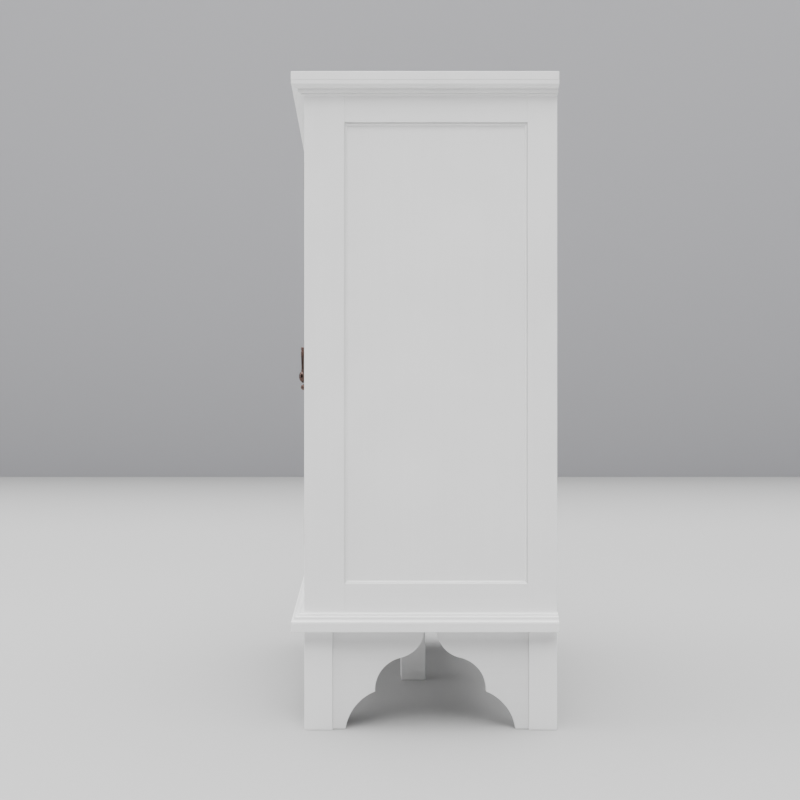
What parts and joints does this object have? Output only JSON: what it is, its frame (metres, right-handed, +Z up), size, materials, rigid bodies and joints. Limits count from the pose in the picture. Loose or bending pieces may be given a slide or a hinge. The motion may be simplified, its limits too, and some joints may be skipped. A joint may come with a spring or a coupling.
{
  "type": "armoire",
  "caption": "Tall two-door painted armoire, frame-and-panel sides, moulded cornice and base, raised on square legs with cusped arch brackets",
  "frame": {"origin": "on the floor, under the middle of the whole object, pulls included", "axes": "+Z up, the doors face -Y, the back is at +Y, +X is to the right of someone who faces the doors"},
  "size_m": [1.22, 0.6224, 1.524],
  "materials": {
    "painted_wood": "white satin paint, brushed",
    "painted_board": "white satin paint, rolled",
    "antique_copper": "antique copper, dark with burnished high spots",
    "nickel_steel": "nickel plated steel",
    "white_plastic": "moulded"
  },
  "bodies": {
    "case": {"back_panel": "painted_board", "base_board": "painted_wood", "base_moulding_front": "painted_wood", "base_moulding_left": "painted_wood", "base_moulding_right": "painted_wood", "bracket_front_left": "painted_wood", "bracket_front_right": "painted_wood", "bracket_side_back_left": "painted_wood", "bracket_side_back_right": "painted_wood", "bracket_side_front_left": "painted_wood", "bracket_side_front_right": "painted_wood", "catch_magnets": "white_plastic", "cornice_board": "painted_wood", "cornice_moulding_front": "painted_wood", "cornice_moulding_left": "painted_wood", "cornice_moulding_right": "painted_wood", "face_bottom_rail": "painted_wood", "face_top_rail": "painted_wood", "floor_bearers": "painted_board", "floor_board": "painted_board", "hanging_rail": "nickel_steel", "hinge_leaves_case": "antique_copper", "leg_back_left": "painted_wood", "leg_back_right": "painted_wood", "leg_centre": "painted_wood", "leg_front_left": "painted_wood", "leg_front_right": "painted_wood", "partition": "painted_board", "post_front_left": "painted_wood", "post_front_right": "painted_wood", "shelf_pins": "nickel_steel", "shelves": "painted_board", "side_bottom_rail_left": "painted_wood", "side_bottom_rail_right": "painted_wood", "side_panel_left": "painted_wood", "side_panel_right": "painted_wood", "side_top_rail_left": "painted_wood", "side_top_rail_right": "painted_wood", "stile_back_left": "painted_wood", "stile_back_right": "painted_wood"},
    "door_left": {"catch_strike_left": "nickel_steel", "door_bottom_rail_left": "painted_wood", "door_hinge_stile_left": "painted_wood", "door_meeting_stile_left": "painted_wood", "door_panel_left": "painted_wood", "door_top_rail_left": "painted_wood", "hinge_leaves_door_left": "antique_copper", "pull_plate_left": "antique_copper", "pull_posts_left": "antique_copper"},
    "door_right": {"catch_strike_right": "nickel_steel", "door_bottom_rail_right": "painted_wood", "door_hinge_stile_right": "painted_wood", "door_meeting_stile_right": "painted_wood", "door_panel_right": "painted_wood", "door_top_rail_right": "painted_wood", "hinge_leaves_door_right": "antique_copper", "pull_plate_right": "antique_copper", "pull_posts_right": "antique_copper"},
    "drop_left": {"pull_drop_left": "antique_copper"},
    "drop_right": {"pull_drop_right": "antique_copper"}
  },
  "joints": [
    {"name": "door_right_hinge", "type": "hinge", "parent": "case", "child": "door_right", "pos_m": [0.51275, -0.27725, 0.877], "axis": [0, 0, 1], "range_deg": [0, 170]},
    {"name": "door_left_hinge", "type": "hinge", "parent": "case", "child": "door_left", "pos_m": [-0.51275, -0.27725, 0.877], "axis": [0, 0, -1], "range_deg": [0, 170]},
    {"name": "pull_right_swing", "type": "hinge", "parent": "door_right", "child": "drop_right", "pos_m": [0.0345, -0.3014, 0.9082], "axis": [-1, 0, 0], "range_deg": [-8, 85]},
    {"name": "pull_left_swing", "type": "hinge", "parent": "door_left", "child": "drop_left", "pos_m": [-0.0345, -0.3014, 0.9082], "axis": [-1, 0, 0], "range_deg": [-8, 85]}
  ]
}
